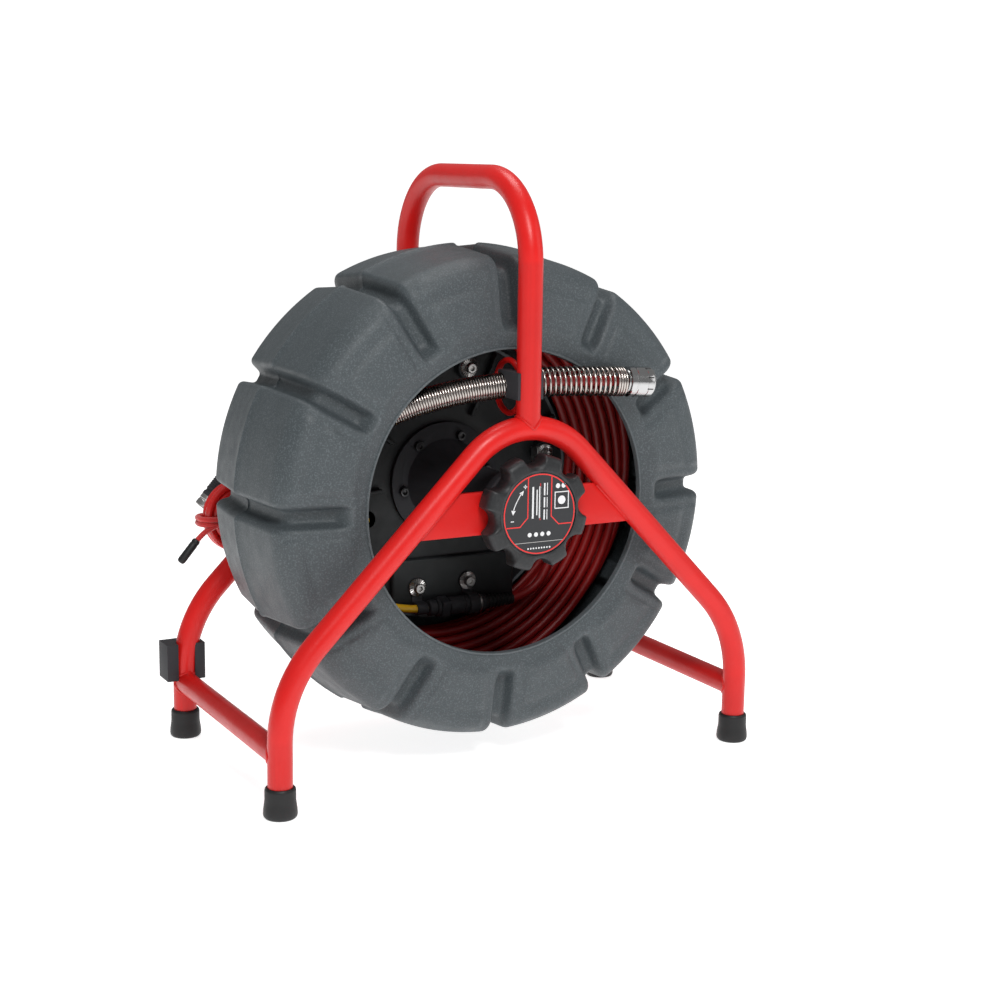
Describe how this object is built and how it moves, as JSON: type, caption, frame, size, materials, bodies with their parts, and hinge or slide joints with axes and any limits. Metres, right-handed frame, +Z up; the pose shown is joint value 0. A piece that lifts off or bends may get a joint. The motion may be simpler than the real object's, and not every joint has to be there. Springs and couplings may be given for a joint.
{
  "type": "drain inspection camera reel",
  "caption": "Drain inspection camera on a hand-wound push-cable reel in a red tube stand, with a drag knob, spring-mounted camera head and system cable.",
  "frame": {"origin": "on the floor under the middle of the stand", "axes": "+X to the right along the front, +Y to the rear along the drum axle, +Z up"},
  "size_m": [0.5564, 0.345, 0.603],
  "materials": {
    "red_paint": "gloss red powder coat on steel tube",
    "foot_rubber": "matte black moulded rubber",
    "drum_plastic": "grey moulded plastic with a fine texture",
    "black_plastic": "black moulded plastic",
    "knob_plastic": "satin black moulded knob",
    "knob_label": "printed disc with red outlines and a turn arrow",
    "black_rubber": "soft black rubber",
    "push_cable": "red cable jacket",
    "system_cable": "red cable jacket",
    "tie_cord": "red tie cord",
    "inner_lead": "yellow lead jacket",
    "spring_steel": "bright stainless wire",
    "chrome": "polished stainless camera housing",
    "steel": "zinc plated steel",
    "bronze": "sintered bronze",
    "friction": "fibre brake lining",
    "glass": "clear sapphire window",
    "lens": "dark coated lens",
    "led": "ring of white lamps"
  },
  "bodies": {
    "stand": {"axle": "steel", "axle_nut": "steel", "axle_washer": "steel", "cable_gland": "black_plastic", "camera_head": "chrome", "camera_lens": "lens", "camera_window": "glass", "close_spring": "spring_steel", "foot_front_left": "foot_rubber", "foot_front_right": "foot_rubber", "foot_rear_left": "foot_rubber", "foot_rear_right": "foot_rubber", "front_arch": "red_paint", "front_plate": "red_paint", "guide_ring": "red_paint", "handle": "red_paint", "hank_tie": "tie_cord", "led_ring": "led", "left_cross_bar": "red_paint", "left_hook": "red_paint", "leg_clip": "black_plastic", "open_spring": "spring_steel", "plug_lead": "system_cable", "plug_relief": "black_rubber", "push_cable_tail": "push_cable", "rear_arch": "red_paint", "rear_plate": "red_paint", "right_cross_bar": "red_paint", "right_hook": "red_paint", "slip_ring_housing": "black_plastic", "spring_clip": "black_plastic", "spring_coupling": "spring_steel", "spring_ferrule": "spring_steel", "system_cable_entry": "system_cable", "system_cable_hank": "system_cable", "system_plug": "black_plastic", "tie_tip": "black_rubber"},
    "drum": {"drum_shell": "drum_plastic", "drum_hub": "black_plastic", "front_bush": "bronze", "rear_bush": "bronze", "hub_screws": "steel", "slip_ring_rotor": "black_plastic", "push_cable_coil": "push_cable", "push_cable_lead": "push_cable", "termination": "black_plastic", "termination_relief": "black_rubber", "inner_lead": "inner_lead", "lead_grommet": "black_rubber", "p_clip_left": "black_plastic", "p_clip_right": "black_plastic", "web_bolts": "steel", "web_washers": "steel", "web_nuts": "steel", "earth_tab": "steel"},
    "brake": {"pressure_plate": "steel", "friction_disc": "friction"},
    "knob": {"drag_knob": "knob_plastic", "knob_label": "knob_label", "knob_insert": "bronze"}
  },
  "joints": [
    {"name": "drum_spin", "type": "hinge", "parent": "stand", "child": "drum", "pos_m": [0, 0, 0.273], "axis": [0, 1, 0], "continuous": true},
    {"name": "brake_slide", "type": "slide", "parent": "stand", "child": "brake", "axis": [0, 1, 0], "range_m": [-0.0009, 0.0009]},
    {"name": "knob_turn", "type": "hinge", "parent": "brake", "child": "knob", "pos_m": [0, 0, 0.273], "axis": [0, 1, 0], "range_deg": [-180, 180]}
  ],
  "couplings": [
    {"joint": "brake_slide", "follows": "knob_turn", "m_per_rad": 0.00027852}
  ]
}
